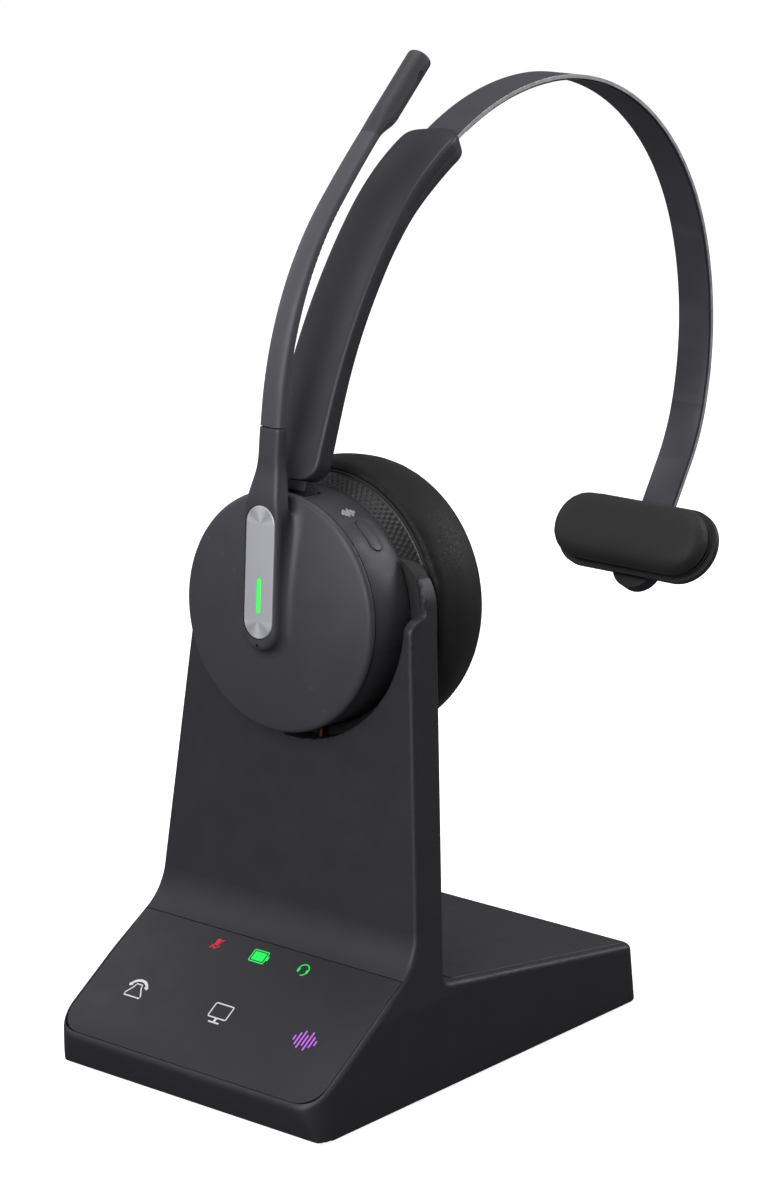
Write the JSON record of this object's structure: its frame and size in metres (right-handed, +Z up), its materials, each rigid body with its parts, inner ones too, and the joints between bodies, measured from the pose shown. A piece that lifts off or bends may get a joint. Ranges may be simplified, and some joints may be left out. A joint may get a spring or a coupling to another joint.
{
  "type": "single-ear wireless office headset on charging stand",
  "caption": "Single-ear wireless office headset with a boom microphone, spring headband and temple pad, docked on a leaning charging stand with a sloping touch panel.",
  "frame": {"origin": "on the desk under the middle of the stand's base", "axes": "+Z up; -Y towards the person facing the touch panel; +X to that person's right"},
  "size_m": [0.0878, 0.2136, 0.2504],
  "materials": {
    "stand_shell": "fine satin texture",
    "panel_gloss": "satin glass-like touch surface with printed icons",
    "cover_dark": "satin",
    "soft_black": "matt",
    "cup_shell": "satin",
    "disc_shell": "fine satin texture",
    "vent_texture": "diamond knurl",
    "pill_metal": "spun satin",
    "light_green": "lit",
    "cushion_leather": "soft grain",
    "pad_leather": "soft grain",
    "boom_soft": "satin",
    "band_steel": "bright edge, dark coated faces",
    "band_soft": "matt",
    "steel": "plain",
    "board": "solder mask",
    "gold": "plated",
    "clear": "diffusing",
    "white_nylon": "plain",
    "mesh": "woven",
    "cell": "foil pouch",
    "weight": "plain"
  },
  "bodies": {
    "stand": {"stand_housing": "stand_shell", "cradle_liner": "soft_black", "upright_back_cover": "cover_dark", "deck_cover": "stand_shell", "touch_panel": "panel_gloss", "icon_light_guide": "clear", "touch_board": "board", "base_plate": "cover_dark", "foot_pad": "soft_black", "base_screws": "steel", "ballast_plate": "weight", "main_board": "board", "usb_sockets": "steel", "antenna_board": "board", "charge_pin_block": "cover_dark", "pin_springs": "steel"},
    "charge_pins": {"charge_pins": "gold"},
    "ear_cup": {"cup_housing": "cup_shell", "vent_ring": "vent_texture", "cup_baffle": "cover_dark", "speaker_driver": "steel", "speaker_mesh": "mesh", "cushion_ring": "cover_dark", "ear_cushion": "cushion_leather", "battery": "cell", "headset_board": "board", "charge_contacts": "gold", "hub_washer": "white_nylon", "hub_clip": "steel", "tilt_pin": "steel"},
    "voice_button": {"voice_button": "cup_shell"},
    "volume_rocker": {"volume_rocker": "cup_shell"},
    "power_slider": {"power_slider": "cup_shell"},
    "mic_boom": {"disc_cap": "disc_shell", "call_switch": "steel", "boom_sleeve": "boom_soft", "boom_core": "steel", "mic_housing": "cup_shell", "mic_capsule": "steel", "mic_mesh": "mesh"},
    "call_button": {"call_button": "pill_metal", "status_light": "light_green"},
    "neck": {"neck_yoke": "cover_dark", "swivel_clip": "steel"},
    "arm": {"arm_cover": "disc_shell", "arm_inner_cover": "cover_dark", "arm_screws": "steel"},
    "headband": {"headband": "band_steel", "band_liner": "band_soft", "band_end_cap": "cover_dark"},
    "temple_pad": {"pad_plate": "cover_dark", "temple_pad": "pad_leather", "pad_pin": "steel"}
  },
  "joints": [
    {"name": "headset_dock", "type": "slide", "parent": "stand", "child": "ear_cup", "axis": [0, 0.9986, -0.0523], "range_m": [0, 0.05]},
    {"name": "charge_pin_travel", "type": "slide", "parent": "stand", "child": "charge_pins", "axis": [0, -0.0523, -0.9986], "range_m": [0, 0.0009], "stiffness_N_per_m": 400, "deforming": ["pin_springs"]},
    {"name": "boom_swing", "type": "hinge", "parent": "ear_cup", "child": "mic_boom", "pos_m": [0, -0.02902, 0.1176], "axis": [0, 0.9986, -0.0523], "range_deg": [-135, 135]},
    {"name": "call_press", "type": "slide", "parent": "mic_boom", "child": "call_button", "axis": [0, 0.9986, -0.0523], "range_m": [0, 0.0005]},
    {"name": "voice_press", "type": "slide", "parent": "ear_cup", "child": "voice_button", "axis": [-0.6947, -0.0376, -0.7184], "range_m": [0, 0.0004]},
    {"name": "volume_rock", "type": "hinge", "parent": "ear_cup", "child": "volume_rocker", "pos_m": [-0.02661, -0.01947, 0.12787], "axis": [0, 0.9986, -0.0523], "range_deg": [-2.5, 2.5]},
    {"name": "power_slide", "type": "slide", "parent": "ear_cup", "child": "power_slider", "axis": [-0.788, -0.0322, -0.6148], "range_m": [0, 0.003]},
    {"name": "neck_tilt", "type": "hinge", "parent": "ear_cup", "child": "neck", "pos_m": [0, -0.0217, 0.14255], "axis": [-1, 0, 0], "range_deg": [-6, 12]},
    {"name": "arm_swivel", "type": "hinge", "parent": "neck", "child": "arm", "pos_m": [0, -0.02214, 0.14969], "axis": [0, 0.3256, 0.9455], "range_deg": [-15, 15]},
    {"name": "headband_extend", "type": "hinge", "parent": "arm", "child": "headband", "pos_m": [0, 0.0756, 0.1542], "axis": [-1, 0, 0], "range_deg": [0, 15]},
    {"name": "pad_tilt", "type": "hinge", "parent": "headband", "child": "temple_pad", "pos_m": [0, 0.12138, 0.10144], "axis": [1, 0, 0], "range_deg": [-6, 10]}
  ]
}
